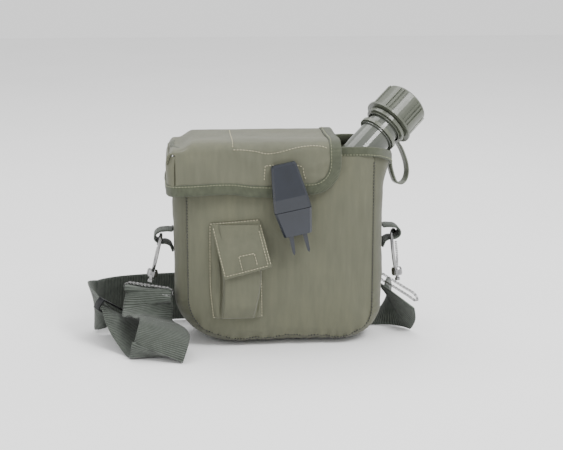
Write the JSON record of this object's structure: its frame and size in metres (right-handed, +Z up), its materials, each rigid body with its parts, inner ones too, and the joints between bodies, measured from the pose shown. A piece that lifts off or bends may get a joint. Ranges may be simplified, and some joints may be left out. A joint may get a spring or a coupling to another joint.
{
  "type": "collapsible canteen",
  "caption": "Soft canteen in a fabric cover: leaning neck with a screw cap on a tether, buckled flap, small pocket, belt clips and a webbing shoulder strap on snap hooks.",
  "frame": {"origin": "centre of the flat bottom that the cover stands on", "axes": "+Z up, -Y towards the front with the buckle and the pocket, +X towards the neck's side"},
  "size_m": [0.3365, 0.1658, 0.2458],
  "materials": {
    "cloth": "coated olive nylon, matte",
    "liner": "felt-like pile",
    "tape": "ribbed nylon binding tape",
    "webbing": "ribbed nylon webbing",
    "bladder": "soft glossy olive vinyl",
    "cap": "moulded olive plastic, satin",
    "seal": "soft black rubber",
    "tether": "soft olive grey plastic",
    "buckle": "polished black acetal",
    "steel": "blackened steel wire, worn bright",
    "black_steel": "black baked paint"
  },
  "bodies": {
    "cover": {"front_panel": "cloth", "back_panel": "cloth", "side_gusset": "cloth", "insulating_liner": "liner", "mouth_binding": "tape", "canteen_body": "bladder", "tether_neck_ring": "tether", "tether_band": "tether", "buckle_catch": "buckle", "catch_webbing": "webbing", "pocket_body": "cloth", "pocket_loop_patch": "webbing", "side_loop_left": "webbing", "side_loop_right": "webbing", "swivel_post_left": "steel", "swivel_post_right": "steel", "strap_bail_left": "steel", "strap_bail_right": "steel", "shoulder_strap": "webbing", "strap_adjuster": "black_steel", "belt_clip_left": "black_steel", "belt_clip_right": "black_steel", "clip_band": "webbing"},
    "cap_ring": {"tether_cap_ring": "tether"},
    "cap": {"screw_cap": "cap", "cap_seal": "seal"},
    "flap": {"flap_panel": "cloth", "flap_side_panel": "cloth", "flap_binding": "tape", "shield_webbing": "webbing"},
    "buckle_male": {"buckle_shield": "buckle"},
    "leg_left": {"buckle_leg_left": "buckle"},
    "leg_right": {"buckle_leg_right": "buckle"},
    "pocket_lid": {"pocket_flap": "cloth", "pocket_hook_patch": "webbing"},
    "hook_left": {"snap_hook_left": "steel"},
    "hook_right": {"snap_hook_right": "steel"},
    "latch_left": {"snap_gate_left": "steel"},
    "latch_right": {"snap_gate_right": "steel"},
    "keeper_left": {"clip_slide_left": "black_steel"},
    "keeper_right": {"clip_slide_right": "black_steel"}
  },
  "joints": [
    {"name": "cap_lift", "type": "slide", "parent": "cover", "child": "cap_ring", "axis": [0.6874, 0.3842, 0.6163], "range_m": [0, 0.0296], "deforming": ["tether_band"]},
    {"name": "cap_turn", "type": "hinge", "parent": "cap_ring", "child": "cap", "pos_m": [0.1005, 0.01, 0.2], "axis": [0.6874, 0.3842, 0.6163], "range_deg": [0, 2520]},
    {"name": "flap_open", "type": "hinge", "parent": "cover", "child": "flap", "pos_m": [0, 0.0405, 0.2035], "axis": [-1, 0, 0], "range_deg": [0, 110], "deforming": ["buckle_leg_left", "buckle_leg_right"]},
    {"name": "buckle_release", "type": "slide", "parent": "flap", "child": "buckle_male", "axis": [-0.1994, 0, 0.9799], "range_m": [0, 0.045], "deforming": ["buckle_leg_left", "buckle_leg_right"]},
    {"name": "pinch_left", "type": "hinge", "parent": "buckle_male", "child": "leg_left", "pos_m": [0.00304, -0.056, 0.14154], "axis": [0, -1, 0], "range_deg": [0, 6], "stiffness_Nm_per_rad": 0.05},
    {"name": "pinch_right", "type": "hinge", "parent": "buckle_male", "child": "leg_right", "pos_m": [0.01676, -0.056, 0.14433], "axis": [0, 1, 0], "range_deg": [0, 6], "stiffness_Nm_per_rad": 0.05},
    {"name": "pocket_lift", "type": "hinge", "parent": "cover", "child": "pocket_lid", "pos_m": [-0.0435, -0.0564, 0.1285], "axis": [-0.9977, 0, -0.068], "range_deg": [0, 150]},
    {"name": "swivel_left", "type": "hinge", "parent": "cover", "child": "hook_left", "pos_m": [-0.12343, -0.00996, 0.0652], "axis": [0.2381, 0.2342, 0.9426], "range_deg": [-3, 3]},
    {"name": "gate_left", "type": "hinge", "parent": "hook_left", "child": "latch_left", "pos_m": [-0.12228, -0.00554, 0.06975], "axis": [0.9695, 0, -0.2449], "range_deg": [0, 20], "stiffness_Nm_per_rad": 0.01},
    {"name": "swivel_right", "type": "hinge", "parent": "cover", "child": "hook_right", "pos_m": [0.12015, -0.00504, 0.0601], "axis": [-0.0974, 0.1103, 0.9891], "range_deg": [-3, 3]},
    {"name": "gate_right", "type": "hinge", "parent": "hook_right", "child": "latch_right", "pos_m": [0.12062, -0.0014, 0.06541], "axis": [0.9431, -0.3071, 0.1272], "range_deg": [0, 20], "stiffness_Nm_per_rad": 0.01},
    {"name": "keeper_slide_left", "type": "slide", "parent": "cover", "child": "keeper_left", "axis": [0, 0, 1], "range_m": [0, 0.026]},
    {"name": "keeper_slide_right", "type": "slide", "parent": "cover", "child": "keeper_right", "axis": [0, 0, 1], "range_m": [0, 0.026]}
  ],
  "couplings": [
    {"joint": "cap_lift", "follows": "cap_turn", "m_per_rad": 0.00066845},
    {"joint": "pinch_right", "follows": "pinch_left", "ratio": 1}
  ]
}
